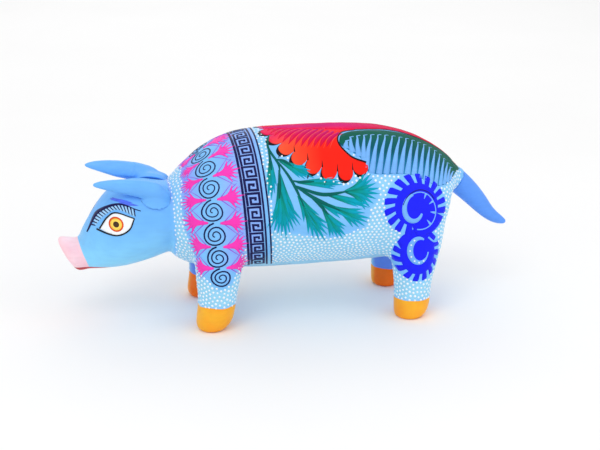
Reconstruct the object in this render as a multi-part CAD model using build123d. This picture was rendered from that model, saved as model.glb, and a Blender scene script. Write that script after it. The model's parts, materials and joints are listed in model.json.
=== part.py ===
from build123d import *

import math
import os
from collections import namedtuple

# A carved and painted wooden pig in the Oaxacan alebrije tradition.
#
# The torso, neck, head, snout and four legs are one block of copal wood. The two ears and
# the tail are carved apart. Each of them turns on a loose round peg, and the peg pulls out
# of a socket drilled in the block, as such figures are taken down for packing.
#
# Frame: millimetres, +Z up, the snout towards -X and the pig's left side towards -Y. The
# origin is the bottom centre of the whole figure, on the plane that the hooves stand on.

# --- Driving dimensions ---------------------------------------------------------------
BODY_LENGTH = 222.0  # front of the snout to the tail's seat
BODY_HEIGHT = 102.8  # ground to the top of the back
BODY_WIDTH = 76.0  # across the ribs

LEG_TRACK = 54.0  # between the left and right leg centres
LEG_THICKNESS = 21.0  # of a leg, just above the hoof
HOOF_HEIGHT = 13.0
FRONT_LEG_STAGGER = 1.5  # the right front leg stands this much behind the left one

EAR_WIDTH = 12.4
EAR_THICKNESS = 8.0
EAR_ROOT_HEIGHT = 4.2  # seat to the middle of the blade, along the peg
EAR_BACK = 7.0  # peg to the ear's back edge
EAR_BLADE_LEAN = 28.0  # degrees that the blade leans outward
EAR_SPLAY = 1.2  # how much further out the tip stands than the back edge
EAR_SEAT_LEAN = 40.0  # degrees from straight up to the seat, about the head's middle

TAIL_LENGTH = 39.5  # seat to tip, along the peg's line
TAIL_THICKNESS = 13.4  # at its root
TAIL_DIP = 36.0  # degrees below level that the tail's peg points

EAR_PEG_RADIUS = 1.8
EAR_PEG_IN_HEAD = 10.0
EAR_PEG_IN_EAR = 6.0
TAIL_PEG_RADIUS = 2.4
TAIL_PEG_IN_BODY = 14.0
TAIL_PEG_IN_TAIL = 8.0

PEG_CLEARANCE = 0.05  # radial, between a peg and its hole
END_GAP = 0.5  # between a peg's end and the bottom of its hole
SEAT_GAP = 0.1  # between a seat and what stands on it
SEAT_MARGIN = 0.6  # how far a seat reaches past what stands on it
EAR_SEAT_DEPTH = 1.0  # how deep an ear's seat is pared into the head
EAR_SEAT_MARGIN = 0.3  # how far an ear's seat reaches past its pad
EAR_PAD_WALL = 4.6  # wood around the peg where the ear meets its seat
EAR_PAD_FLARE = 2.0  # how much the pad narrows on its way up into the blade
EAR_HEAD_GAP = 0.4  # between the head and the underside of an ear's blade

EAR_PAD_RADIUS = EAR_PEG_RADIUS + EAR_PAD_WALL
TAIL_SEAT_RADIUS = TAIL_THICKNESS / 2 + SEAT_MARGIN

# The two ears are carved by hand and differ: which side of the head an ear is on, its
# length, and how far its tip stands above its root.
Ear = namedtuple("Ear", "side length lift")
EARS = {
    "left": Ear(side=-1, length=40.5, lift=5.6),
    "right": Ear(side=1, length=43.0, lift=7.8),
}

# --- Side template --------------------------------------------------------------------
# The block seen from its side, drawn for the sizes on the next line and stretched to the
# driving sizes. A station is an oval from a top point to a bottom point, both (x, z).
DRAWN_LENGTH, DRAWN_HEIGHT, DRAWN_WIDTH = 222.0, 102.8, 76.0
Station = namedtuple("Station", "top bottom half_width")

TORSO = [
    Station((-67.0, 69.0), (-68.0, 45.0), 12.0),
    Station((-61.5, 79.0), (-63.0, 35.0), 22.5),
    Station((-53.0, 86.8), (-55.0, 30.5), 30.0),
    Station((-43.0, 94.2), (-44.5, 28.0), 35.0),
    Station((-28.0, 100.3), (-28.5, 26.5), 37.6),
    Station((-5.0, 102.6), (-5.0, 26.0), 38.0),
    Station((20.0, 102.7), (18.0, 26.2), 38.0),
    Station((45.0, 101.5), (41.0, 26.8), 37.6),
    Station((66.0, 97.0), (60.0, 28.0), 36.0),
    Station((83.0, 88.6), (74.0, 33.0), 30.0),
    Station((93.0, 80.2), (83.0, 47.0), 19.5),
]
HEAD = [
    Station((-52.0, 73.0), (-52.0, 39.5), 16.0),
    Station((-64.0, 75.3), (-65.0, 37.2), 20.0),
    Station((-78.0, 77.2), (-77.0, 33.2), 22.2),
    Station((-91.0, 75.8), (-88.0, 30.6), 21.8),
    Station((-101.0, 67.4), (-97.0, 29.6), 18.6),
    Station((-108.0, 57.0), (-103.0, 29.3), 14.6),
    Station((-113.6, 46.0), (-107.4, 29.6), 10.8),
]
SNOUT = [
    Station((-111.5, 44.5), (-104.5, 31.0), 9.4),
    Station((-115.0, 46.2), (-108.3, 29.5), 11.0),
    Station((-119.6, 46.9), (-111.2, 29.0), 12.0),
    Station((-124.0, 47.0), (-113.4, 28.9), 12.6),
    Station((-125.0, 46.2), (-114.6, 29.2), 12.0),
]
FRONT_LEG = (-43.0, 0.0)
REAR_LEG = (65.5, 0.0)
HEAD_MIDDLE = (-72.5, 56.0)  # the ears' seats are found by looking outward from here
TAIL_SEAT = (96.6, 67.6)

# --- Leg templates --------------------------------------------------------------------
# A level is an oval across the leg: its height, how far its centre is set forward and
# outward from the leg's, and how much longer and wider it is than LEG_THICKNESS.
Level = namedtuple("Level", "z forward outward longer wider")
FRONT_LEVELS = [
    Level(72.0, -2.0, -8.0, 10.0, -2.0),
    Level(56.0, -2.2, -2.0, 8.0, 3.0),
    Level(40.0, -2.0, 0.0, 4.8, 1.5),
    Level(26.0, -1.2, 0.2, 2.2, 0.5),
    Level(HOOF_HEIGHT, -0.3, 0.0, -0.6, 0.0),
    Level(4.5, 1.4, 0.0, -2.0, -1.0),
    Level(0.0, 3.0, 0.0, -8.0, -5.0),
]
REAR_LEVELS = [
    Level(72.0, -3.0, -9.0, 15.0, 0.0),
    Level(54.0, -1.6, -3.0, 13.0, 4.5),
    Level(40.0, -1.0, -0.6, 8.0, 2.5),
    Level(27.0, -0.4, 0.0, 2.4, 0.6),
    Level(HOOF_HEIGHT - 1.5, 0.3, 0.0, -1.2, -0.4),
    Level(4.0, 0.9, 0.0, -2.4, -0.8),
    Level(0.0, 2.4, 0.0, -6.6, -3.0),
]

# --- Ear and tail templates -----------------------------------------------------------
# An ear's ovals: the share of its length from the back edge, and the shares of its lift,
# width and thickness there.
EAR_OVALS = [
    (0.00, -0.36, 0.36, 0.30),
    (0.06, -0.24, 0.70, 0.66),
    (0.18, -0.02, 0.97, 0.97),
    (0.39, 0.34, 0.95, 0.95),
    (0.60, 0.64, 0.78, 0.78),
    (0.80, 0.87, 0.54, 0.56),
    (0.94, 0.98, 0.30, 0.36),
    (1.00, 1.00, 0.12, 0.18),
]
# The tail's ovals: how far along its peg's line and how far below it, both as shares of
# the length, the degrees it has turned down there, and the share of its thickness.
TAIL_OVALS = [
    (0.00, 0.000, 0.0, 1.00),
    (0.13, 0.010, 6.0, 0.95),
    (0.34, 0.044, 13.0, 0.86),
    (0.55, 0.092, 15.0, 0.71),
    (0.76, 0.122, 0.0, 0.53),
    (0.91, 0.110, -8.0, 0.36),
    (1.00, 0.096, -8.0, 0.14),
]


def stretched(point):
    """A side-template point at the driving length and height."""
    x, z = point
    return x * BODY_LENGTH / DRAWN_LENGTH, z * BODY_HEIGHT / DRAWN_HEIGHT


def side_oval(station):
    """The outline of a station: an oval that stands across the figure."""
    top_x, top_z = stretched(station.top)
    bottom_x, bottom_z = stretched(station.bottom)
    upward = Vector(top_x - bottom_x, 0, top_z - bottom_z)
    across = Vector(0, 1, 0)
    centre = ((top_x + bottom_x) / 2, 0, (top_z + bottom_z) / 2)
    plane = Plane(origin=centre, x_dir=across, z_dir=across.cross(upward))
    half_width = station.half_width * BODY_WIDTH / DRAWN_WIDTH
    return plane * Ellipse(half_width, upward.length / 2)


def find_tail_seat():
    """The flat at the rump that the tail stands on, with the peg's line as its normal."""
    x, z = stretched(TAIL_SEAT)
    dip = math.radians(TAIL_DIP)
    normal = (math.cos(dip), 0, -math.sin(dip))
    return Plane(origin=(x, 0, z), x_dir=(0, 1, 0), z_dir=normal)


def find_ear_seat(head, side):
    """The flat pared on the head for an ear, square to the head's surface."""
    x, z = stretched(HEAD_MIDDLE)
    lean = math.radians(EAR_SEAT_LEAN)
    outward = (0, side * math.sin(lean), math.cos(lean))
    hits = head.find_intersection_points(Axis((x, 0, z), outward))
    point, normal = max(hits, key=lambda hit: hit[0].Z)
    if normal.Z < 0:
        normal = -normal
    origin = point - normal * EAR_SEAT_DEPTH
    return Plane(origin=origin, x_dir=(-1, 0, 0), z_dir=normal)


def make_leg(levels, foot, side, back=0.0):
    """One leg, from inside the torso down to its flat sole."""
    foot_x, _ = stretched(foot)
    ovals = []
    for level in levels:
        z = level.z
        if z > HOOF_HEIGHT:
            _, z = stretched((0, level.z))
        x = foot_x + back - level.forward
        y = side * (LEG_TRACK / 2 + level.outward)
        half_length = (LEG_THICKNESS + level.longer) / 2
        half_width = (LEG_THICKNESS + level.wider) / 2
        ovals.append(Pos(x, y, z) * Ellipse(half_length, half_width))
    return loft(ovals)


def round_bar(seat, radius, low, high):
    """A round bar along a seat's normal, between two heights over the seat."""
    return seat * Pos(0, 0, (low + high) / 2) * Cylinder(radius, high - low)


def make_peg(seat, radius, inside, outside):
    """A peg that reaches into the block and into what stands on its seat."""
    return round_bar(seat, radius, -inside, SEAT_GAP + outside)


def bore(solid, seat, radius, low, high):
    """The solid with a peg's hole drilled between two heights over its seat."""
    return solid - round_bar(seat, radius + PEG_CLEARANCE, low, high)


def make_block(head, tail_seat, ear_seats):
    """The carved block: torso, head, snout and legs, with its seats and sockets."""
    rump = tail_seat * Circle(TAIL_SEAT_RADIUS)
    block = loft([side_oval(station) for station in TORSO] + [rump])
    block += head
    block += loft([side_oval(station) for station in SNOUT])
    for side in (-1, 1):
        back = FRONT_LEG_STAGGER if side > 0 else 0.0
        block += make_leg(FRONT_LEVELS, FRONT_LEG, side, back)
        block += make_leg(REAR_LEVELS, REAR_LEG, side)
    for seat in ear_seats:
        block -= round_bar(seat, EAR_PAD_RADIUS + EAR_SEAT_MARGIN, 0, 3 * EAR_SEAT_DEPTH)
        depth = EAR_PEG_IN_HEAD + END_GAP
        block = bore(block, seat, EAR_PEG_RADIUS, -depth, END_GAP)
    depth = TAIL_PEG_IN_BODY + END_GAP
    return bore(block, tail_seat, TAIL_PEG_RADIUS, -depth, END_GAP)


def make_ear(seat, ear):
    """An ear: a blade that tapers forward from a round pad, bored for its peg."""
    lean = math.radians(EAR_BLADE_LEAN)
    upright = (0, ear.side * math.sin(lean), math.cos(lean))
    root = seat.origin + seat.z_dir * EAR_ROOT_HEIGHT
    ovals = []
    for along, rise, width, thickness in EAR_OVALS:
        x = EAR_BACK - along * ear.length
        centre = root + Vector(x, ear.side * EAR_SPLAY * along, rise * ear.lift)
        plane = Plane(origin=centre, x_dir=upright, z_dir=(-1, 0, 0))
        oval = Ellipse(width * EAR_WIDTH / 2, thickness * EAR_THICKNESS / 2)
        ovals.append(plane * oval)
    blade = loft(ovals)
    underside = EAR_SEAT_DEPTH + EAR_HEAD_GAP
    blade -= round_bar(seat, 2 * ear.length, underside - ear.length, underside)
    pad_height = EAR_ROOT_HEIGHT - SEAT_GAP
    pad = Cone(EAR_PAD_RADIUS, EAR_PAD_RADIUS - EAR_PAD_FLARE, pad_height)
    blade += seat * Pos(0, 0, SEAT_GAP + pad_height / 2) * pad
    depth = SEAT_GAP + EAR_PEG_IN_EAR + END_GAP
    return bore(blade, seat, EAR_PEG_RADIUS, 0, depth)


def make_tail(seat):
    """The tail: it leaves its seat square, hangs down and lifts again at the tip."""
    across = Vector(0, 1, 0)
    down = across.cross(seat.z_dir)
    root = seat.origin + seat.z_dir * SEAT_GAP
    ovals = []
    for along, below, turned, thickness in TAIL_OVALS:
        centre = root + (seat.z_dir * along + down * below) * TAIL_LENGTH
        dip = math.radians(TAIL_DIP + turned)
        heading = (math.cos(dip), 0, -math.sin(dip))
        plane = Plane(origin=centre, x_dir=across, z_dir=heading)
        ovals.append(plane * Circle(thickness * TAIL_THICKNESS / 2))
    depth = SEAT_GAP + TAIL_PEG_IN_TAIL + END_GAP
    return bore(loft(ovals), seat, TAIL_PEG_RADIUS, 0, depth)


def make_pieces():
    """Every piece of the figure by name, in its place."""
    head = loft([side_oval(station) for station in HEAD])
    tail_seat = find_tail_seat()
    ear_seats = {name: find_ear_seat(head, ear.side) for name, ear in EARS.items()}
    pieces = {"carved_block": make_block(head, tail_seat, ear_seats.values())}
    for name, ear in EARS.items():
        seat = ear_seats[name]
        pieces[f"ear_{name}"] = make_ear(seat, ear)
        peg = make_peg(seat, EAR_PEG_RADIUS, EAR_PEG_IN_HEAD, EAR_PEG_IN_EAR)
        pieces[f"ear_{name}_peg"] = peg
    pieces["tail"] = make_tail(tail_seat)
    peg = make_peg(tail_seat, TAIL_PEG_RADIUS, TAIL_PEG_IN_BODY, TAIL_PEG_IN_TAIL)
    pieces["tail_peg"] = peg
    return pieces


def centred(pieces):
    """The pieces moved together so that the origin is at their bottom centre."""
    boxes = [piece.bounding_box() for piece in pieces.values()]
    middle_x = (min(box.min.X for box in boxes) + max(box.max.X for box in boxes)) / 2
    middle_y = (min(box.min.Y for box in boxes) + max(box.max.Y for box in boxes)) / 2
    bottom = min(box.min.Z for box in boxes)
    move = Pos(-middle_x, -middle_y, -bottom)
    return {name: move * piece for name, piece in pieces.items()}


os.makedirs("parts", exist_ok=True)
for name, piece in centred(make_pieces()).items():
    export_step(piece, f"parts/{name}.step")
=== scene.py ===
import json
import math
import random

import bpy
import numpy as np
from mathutils import Matrix, Vector, noise
from mathutils.bvhtree import BVHTree
from mathutils.geometry import delaunay_2d_cdt
from mathutils.kdtree import KDTree


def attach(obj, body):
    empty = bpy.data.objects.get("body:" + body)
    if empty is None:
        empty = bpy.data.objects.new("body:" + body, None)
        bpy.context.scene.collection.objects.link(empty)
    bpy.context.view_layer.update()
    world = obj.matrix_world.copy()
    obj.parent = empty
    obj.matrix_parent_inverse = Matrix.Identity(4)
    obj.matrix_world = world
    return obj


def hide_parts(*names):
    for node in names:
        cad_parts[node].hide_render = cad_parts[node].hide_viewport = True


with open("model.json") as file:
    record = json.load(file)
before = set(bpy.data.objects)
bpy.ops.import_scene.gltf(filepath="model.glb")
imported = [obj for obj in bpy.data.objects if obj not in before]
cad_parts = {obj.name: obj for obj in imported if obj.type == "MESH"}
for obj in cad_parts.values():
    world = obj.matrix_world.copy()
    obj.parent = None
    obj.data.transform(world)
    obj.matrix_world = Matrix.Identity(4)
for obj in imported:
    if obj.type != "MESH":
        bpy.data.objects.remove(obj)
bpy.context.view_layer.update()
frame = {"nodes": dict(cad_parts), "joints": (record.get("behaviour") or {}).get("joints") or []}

MM = 0.001
LEFT, RIGHT = -1, 1
BODY = "carved_block"
random.seed(11)

# Colours as a painter would name them, in display values.
SKY = (0.49, 0.76, 0.99)
HEAD_BLUE = (0.44, 0.72, 0.99)
AQUA = (0.60, 0.84, 0.96)
# Painted shade: a darker blue for the legs' inner faces.
INNER_FACE_SHADE_BLUE = (0.40, 0.57, 0.95)
TAIL_BLUE = (0.37, 0.61, 0.98)
LILAC = (0.62, 0.55, 0.98)
HOOF_ORANGE = (1.0, 0.72, 0.18)
HOOF_SHADE = (1.0, 0.58, 0.12)
# Painted shade: a deeper orange for the hooves' inner faces.
HOOF_PAINTED_SHADE = (1.0, 0.46, 0.10)
SNOUT_PINK = (0.99, 0.79, 0.84)
MOUTH_RED = (0.78, 0.10, 0.16)
HOT_PINK = (0.99, 0.22, 0.72)
NAVY = (0.0, 0.01, 0.30)
INK = (0.03, 0.02, 0.06)
FERN_DARK = (0.0, 0.36, 0.34)
FERN_TIP = (0.0, 0.66, 0.82)
FROND_GREEN = (0.0, 0.37, 0.31)
ULTRAMARINE = (0.07, 0.10, 0.98)
IRIS_RED = (0.93, 0.36, 0.14)
IRIS_YELLOW = (1.0, 0.86, 0.36)
PUPIL = (0.28, 0.20, 0.12)
DOT_WHITE = (0.96, 0.98, 1.0)
VIOLET = (0.62, 0.34, 0.88)
SKY_STROKE = (0.46, 0.71, 0.98)
LID_BLUE = (0.64, 0.84, 1.0)
# Painted shadow of the ear, laid on the head above the brow.
EAR_SHADOW_BLUE = (0.34, 0.46, 0.96)
DEEP_BLUE = (0.04, 0.04, 0.50)
HEAD_LIGHT = (0.56, 0.86, 1.0)
SNOUT_PALE = (1.0, 0.91, 0.94)
MOUTH_DARK = (0.60, 0.06, 0.10)
BARE_WOOD = (0.80, 0.66, 0.46)
WOOD_GRAIN = (0.62, 0.46, 0.28)
WING_HEAD_END, WING_TAIL_END, WING_RIDGE = (1.0, 0.34, 0.20), (1.0, 0.11, 0.03), (0.92, 0.03, 0.34)
# Pairs run from the middle of the stripe to its edge, or from a stroke's start to its end.
STRIPE_FRONT = ((0.84, 0.0, 0.46), (0.98, 0.05, 0.26))
STRIPE_REAR = ((0.96, 0.22, 0.28), (0.78, 0.08, 0.20))
MAGENTA_STROKE = ((0.80, 0.0, 0.42), (0.90, 0.0, 0.20))
SALMON_STROKE = ((0.99, 0.24, 0.36), (1.0, 0.34, 0.24))
FROND_MIDDLE_TINT, FROND_TIP = (0.0, 0.34, 0.40), (0.16, 0.52, 0.76)
FERN_MIDDLE = (0.0, 0.58, 0.53)

# --- Places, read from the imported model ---


def peg_line(joint):
    """Where a peg leaves its seat and the way it points, in millimetres."""
    for j in frame["joints"]:
        if j["name"] == joint:
            return Vector(j["pos_m"]) / MM, Vector(j["axis"]).normalized()
    raise ValueError(joint)


# --- Meshes ---


def added(name, data):
    """A new object, linked into the scene."""
    thing = bpy.data.objects.new(name, data)
    bpy.context.scene.collection.objects.link(thing)
    return thing


def new_object(name, verts, faces, material, smooth=True):
    """A mesh object from millimetre points."""
    mesh = bpy.data.meshes.new(name)
    mesh.from_pydata([tuple(c * MM for c in v) for v in verts], [], faces)
    mesh.update()
    mesh.polygons.foreach_set("use_smooth", [smooth] * len(mesh.polygons))
    piece = added(name, mesh)
    mesh.materials.append(material)
    return piece


def apply_modifiers(piece):
    graph = bpy.context.evaluated_depsgraph_get()
    mesh = bpy.data.meshes.new_from_object(piece.evaluated_get(graph))
    piece.modifiers.clear()
    piece.data = mesh


def remeshed(node, name, voxel):
    """A copy of a CAD node in even small faces."""
    piece = added(name, frame["nodes"][node].data.copy())
    piece.data.materials.clear()
    weld = piece.modifiers.new("weld", "WELD")
    weld.merge_threshold = 1e-6
    remesh = piece.modifiers.new("remesh", "REMESH")
    remesh.mode = "VOXEL"
    remesh.voxel_size = voxel * MM
    apply_modifiers(piece)
    piece.data.polygons.foreach_set("use_smooth", [True] * len(piece.data.polygons))
    return piece


def vectors(items, field):
    """One vector for each vertex or normal, as the rows of an array."""
    flat = np.empty(len(items) * 3)
    items.foreach_get(field, flat)
    return flat.reshape(-1, 3)


def points_of(mesh):
    return vectors(mesh.vertices, "co") / MM


def set_points(mesh, points):
    mesh.vertices.foreach_set("co", (points * MM).ravel())
    mesh.update()


def normals_of(mesh):
    return vectors(mesh.vertex_normals, "vector")


def store(mesh, name, values):
    """Keeps one value for each vertex, for the materials to read."""
    mesh.attributes.new(name, "FLOAT", "POINT").data.foreach_set("value", values)


def edges_of(mesh):
    ends = np.empty(len(mesh.edges) * 2, np.int32)
    mesh.edges.foreach_get("vertices", ends)
    return ends.reshape(-1, 2)


def ramp(x, low, high):
    """0 below low, 1 above high, smooth between."""
    t = np.clip((x - low) / (high - low), 0, 1)
    return t * t * (3 - 2 * t)


def relax(mesh, rounds, weight, hollow_only=False):
    """Smooths a mesh. hollow_only fills creases and leaves ridges nearly alone."""
    ends = edges_of(mesh)
    count = len(mesh.vertices)
    degree = np.bincount(ends.ravel(), minlength=count)[:, None]
    points = points_of(mesh)
    for _ in range(rounds):
        total = np.empty((count, 3))
        for axis in range(3):
            total[:, axis] = np.bincount(ends[:, 0], points[ends[:, 1], axis], count)
            total[:, axis] += np.bincount(ends[:, 1], points[ends[:, 0], axis], count)
        step = total / degree - points
        pull = weight
        if hollow_only:
            set_points(mesh, points)
            outward = (step * normals_of(mesh)).sum(1)
            pull = weight * np.where(outward > 0, 1.0, 0.12)
        points = points + step * pull[:, None]
    set_points(mesh, points)


# --- Brushwork laid on the block ---
# Side patterns are drawn in millimetres: u runs from head to tail and s runs down each side
# from the ridge of the back. Face patterns use u and the height below zero.

WRAP_RADIUS = 38.5
AXIS_HEIGHT = 62.0
NECK_END, RUMP_END = -30.0, 60.0
QUARTER = WRAP_RADIUS * math.pi / 2
# Rays at the block start this far out. Where one misses, the nearest place is searched from nearer.
RAY_START, SEARCH_START = 90, 30
# A solid's skirt goes this far into the block, and the levels are how far layers stand proud.
SKIRT = 0.25
GROUND_LEVEL, MOTIF_LEVEL, LINE_LEVEL, TOP_LEVEL = 0.08, 0.13, 0.18, 0.23


class Surface:
    """The block's outside, found by casting rays at it."""

    def __init__(self, mesh):
        self.points = points_of(mesh)
        self.normals = normals_of(mesh)
        faces = [tuple(face.vertices) for face in mesh.polygons]
        self.tree = BVHTree.FromPolygons([tuple(p) for p in self.points], faces)

    def cast(self, centre, outward):
        start = centre + outward * RAY_START
        place, normal, _, _ = self.tree.ray_cast(start, -outward)
        if place is None:
            place, normal, _, _ = self.tree.find_nearest(centre + outward * SEARCH_START)
        return place, normal

    def wrapped(self, u, s, side):
        """Round the body, as a cloth would lie, with the neck and rump ends rounded over."""
        end = min(max(u, NECK_END), RUMP_END)
        lean, tilt = (u - end) / WRAP_RADIUS, s / WRAP_RADIUS
        spread = side * math.cos(lean) * math.sin(tilt)
        outward = Vector((math.sin(lean), spread, math.cos(lean) * math.cos(tilt)))
        return self.cast(Vector((end, 0, AXIS_HEIGHT)), outward)

    def flank(self, u, s, side):
        """Round the back, then straight down the side and the legs."""
        if s <= QUARTER:
            return self.wrapped(u, s, side)
        end = min(max(u, NECK_END), RUMP_END)
        lean = (u - end) / WRAP_RADIUS
        outward = Vector((math.sin(lean), side * math.cos(lean), 0))
        return self.cast(Vector((end, 0, AXIS_HEIGHT - (s - QUARTER))), outward)

    def cheek(self, u, s, side):
        """Straight across onto the side of the head."""
        return self.cast(Vector((u, 0, -s)), Vector((0, side, 0)))


def flank_places(points):
    """The u and s of points on the block, as flank() reads them."""
    x, y, z = points.T
    end = np.clip(x, NECK_END, RUMP_END)
    high = z >= AXIS_HEIGHT
    radius = np.where(high, np.hypot(y, z - AXIS_HEIGHT), np.abs(y))
    u = end + WRAP_RADIUS * np.arctan2(x - end, radius)
    tilt = np.arctan2(np.abs(y), z - AXIS_HEIGHT)
    s = np.where(high, WRAP_RADIUS * tilt, QUARTER + AXIS_HEIGHT - z)
    return u, s


def smooth_curve(points, step=1.2, closed=False):
    """A smooth curve through points, in even steps."""
    knots = np.array(points, float)
    if closed:
        knots = np.vstack([knots[-1], knots, knots[:2]])
    else:
        knots = np.vstack([2 * knots[0] - knots[1], knots, 2 * knots[-1] - knots[-2]])
    fine = []
    for a, b, c, d in zip(knots, knots[1:], knots[2:], knots[3:]):
        for t in np.linspace(0, 1, 12, endpoint=False):
            square, cube = 2 * a - 5 * b + 4 * c - d, 3 * b - a - 3 * c + d
            fine.append(0.5 * (2 * b + (c - a) * t + square * t * t + cube * t**3))
    if not closed:
        fine.append(knots[-2])
    return resampled(np.array(fine), step, closed)


def resampled(line, step, closed=False):
    if closed:
        line = np.vstack([line, line[:1]])
    reach = np.concatenate([[0], np.cumsum(np.linalg.norm(np.diff(line, axis=0), axis=1))])
    count = max(2, int(round(reach[-1] / step)) + 1)
    marks = np.linspace(0, reach[-1], count)
    out = np.column_stack([np.interp(marks, reach, line[:, k]) for k in range(line.shape[1])])
    return out[:-1] if closed else out


def cornered(points, step=1.2):
    """Straight runs between points, keeping each corner."""
    out = []
    for a, b in zip(points, points[1:]):
        out.extend(resampled(np.array([a, b], float), step)[:-1])
    out.append(np.array(points[-1], float))
    return np.array(out)


def inside(points, outline):
    """True for points inside a closed outline."""
    x, y = points.T
    hits = np.zeros(len(points), bool)
    for (ax, ay), (bx, by) in zip(outline, np.roll(outline, -1, axis=0)):
        crosses = (ay > y) != (by > y)
        with np.errstate(divide="ignore", invalid="ignore"):
            hits ^= crosses & (x < (bx - ax) * (y - ay) / (by - ay) + ax)
    return hits


def edge_distance(points, outline):
    """How far points lie from a closed outline."""
    best = np.full(len(points), 1e9)
    for a, b in zip(outline, np.roll(outline, -1, axis=0)):
        run = b - a
        t = np.clip(((points - a) @ run) / max(run @ run, 1e-12), 0, 1)
        best = np.minimum(best, np.linalg.norm(points - a - t[:, None] * run, axis=1))
    return best


class Paint:
    """One colour's brushwork: closed thin solids that sit on the surface."""

    def __init__(self, surface):
        self.surface = surface
        self.verts, self.faces, self.along, self.across = [], [], [], []

    def add_pair(self, place, level, along, across):
        point, normal = place
        for lift in (level, -SKIRT):
            self.verts.append(point + normal * lift)
            self.along.append(along)
            self.across.append(across)

    def add_faces(self, faces, side):
        self.faces.extend(faces if side == RIGHT else [tuple(reversed(face)) for face in faces])

    def stroke(self, line, width, side, where=None, level=LINE_LEVEL, value=None, first=0.0):
        """A brush line. width is one number, or a function of how far along it is. first is the
        colour's position at its start, and value is one position for all of it."""
        where = where or self.surface.flank
        line = np.array(line, float)
        runs = np.diff(line, axis=0)
        runs /= np.maximum(np.linalg.norm(runs, axis=1), 1e-9)[:, None]
        before, after = np.vstack([runs[:1], runs]), np.vstack([runs, runs[-1:]])
        base = len(self.verts)
        count = len(line)
        for k, (spot, a, b) in enumerate(zip(line, before, after)):
            t = k / (count - 1)
            middle = (a + b) / max(np.linalg.norm(a + b), 1e-6)
            mitre = 1 / max(middle @ a, 0.6)
            half = max(width(t) if callable(width) else width, 0.08) / 2
            off = np.array((-middle[1], middle[0])) * half * mitre
            along = first + (1 - first) * t if value is None else value
            left, right = where(*(spot + off), side), where(*(spot - off), side)
            centre, normal = where(*spot, side)
            self.verts.append(left[0] + left[1] * (level - 0.03))
            self.verts.append(centre + normal * level)
            self.verts.append(right[0] + right[1] * (level - 0.03))
            self.verts.append(right[0] - right[1] * SKIRT)
            self.verts.append(left[0] - left[1] * SKIRT)
            self.along.extend([along] * 5)
            self.across.extend([0.0, 1.0, 0.0, 0.0, 0.0])
        faces = [tuple(base + k for k in (4, 3, 2, 1, 0))]
        for k in range(count - 1):
            a, b = base + 5 * k, base + 5 * k + 5
            faces.extend((a + i, a + (i + 1) % 5, b + (i + 1) % 5, b + i) for i in range(5))
        last = base + 5 * (count - 1)
        faces.append(tuple(last + k for k in range(5)))
        self.add_faces(faces, side)

    def area(self, outline, side, where=None, level=MOTIF_LEVEL, along=None, across=None, grid=1.6):
        """A filled shape. along and across give the colour's position from u and s."""
        where = where or self.surface.flank
        outline = np.array(outline, float)
        low, high = outline.min(0), outline.max(0)
        columns, rows = np.arange(low[0], high[0], grid), np.arange(low[1], high[1], grid)
        spots = np.stack(np.meshgrid(columns, rows), -1).reshape(-1, 2)
        spots = spots[inside(spots, outline)]
        spots = spots[edge_distance(spots, outline) > 0.45 * grid]
        count = len(outline)
        ring = [(k, (k + 1) % count) for k in range(count)]
        flat = [Vector(p) for p in np.vstack([outline, spots])]
        points, _, triangles, _, _, _ = delaunay_2d_cdt(flat, ring, [], 0, 1e-5)
        points = np.array([tuple(p) for p in points])
        triangles = np.array(triangles)
        triangles = triangles[inside(points[triangles].mean(1), outline)].tolist()
        base = len(self.verts)
        for u, s in points:
            values = (tint(u, s) if tint else 0.0 for tint in (along, across))
            self.add_pair(where(u, s, side), level, *values)
        faces = []
        border = set()
        for a, b, c in triangles:
            faces.append((base + 2 * a, base + 2 * b, base + 2 * c))
            faces.append((base + 2 * c + 1, base + 2 * b + 1, base + 2 * a + 1))
            for edge in ((a, b), (b, c), (c, a)):
                if edge[::-1] in border:
                    border.remove(edge[::-1])
                else:
                    border.add(edge)
        for a, b in sorted(border):
            faces.append((base + 2 * b, base + 2 * a, base + 2 * a + 1, base + 2 * b + 1))
        self.add_faces(faces, side)

    def disc(self, centre, radius, side, where=None, level=MOTIF_LEVEL, sides=28):
        turn = np.linspace(0, 2 * math.pi, sides, endpoint=False)
        ring = np.array(centre) + radius * np.column_stack([np.cos(turn), np.sin(turn)])
        self.area(ring, side, where, level)

    def dot(self, point, normal, radius):
        """A drop of paint: a low dome."""
        normal = normal.normalized()
        across = normal.cross(Vector((0.31, 0.17, 0.94))).normalized()
        up = normal.cross(across)
        sides = 8
        base = len(self.verts)
        for reach, lift in ((1.0, -SKIRT), (0.95, 0.10)):
            for k in range(sides):
                angle = 2 * math.pi * k / sides
                spoke = across * math.cos(angle) + up * math.sin(angle)
                self.verts.append(point + spoke * radius * reach + normal * lift)
        self.verts.append(point + normal * 0.24)
        self.along.extend([0.0] * (2 * sides + 1))
        self.across.extend([0.0] * (2 * sides + 1))
        low, top, tip = base, base + sides, base + 2 * sides
        self.faces.append(tuple(low + k for k in reversed(range(sides))))
        for k in range(sides):
            n = (k + 1) % sides
            self.faces.append((low + k, low + n, top + n, top + k))
            self.faces.append((top + k, top + n, tip))

    def make(self, name, material):
        piece = new_object(name, self.verts, self.faces, material)
        store(piece.data, "along", self.along)
        store(piece.data, "across", self.across)
        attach(piece, BODY)
        return piece


def leaf_width(widest, peak=0.35, tip=0.1):
    """A brush pressed down and lifted: widest at peak, thin at both ends."""

    def width(t):
        if t < peak:
            return widest * (0.45 + 0.55 * math.sin(t / peak * math.pi / 2))
        return tip + (widest - tip) * (1 - ((t - peak) / (1 - peak)) ** 1.4)

    return width


def unsteady(size):
    """A small slip of the hand."""
    return random.uniform(-size, size)


def taper(start, end):
    return lambda t: start + (end - start) * t


def toward(angle):
    """A step of 1 mm at an angle."""
    return np.array((math.cos(angle), math.sin(angle)))


# --- Motifs ---

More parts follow.
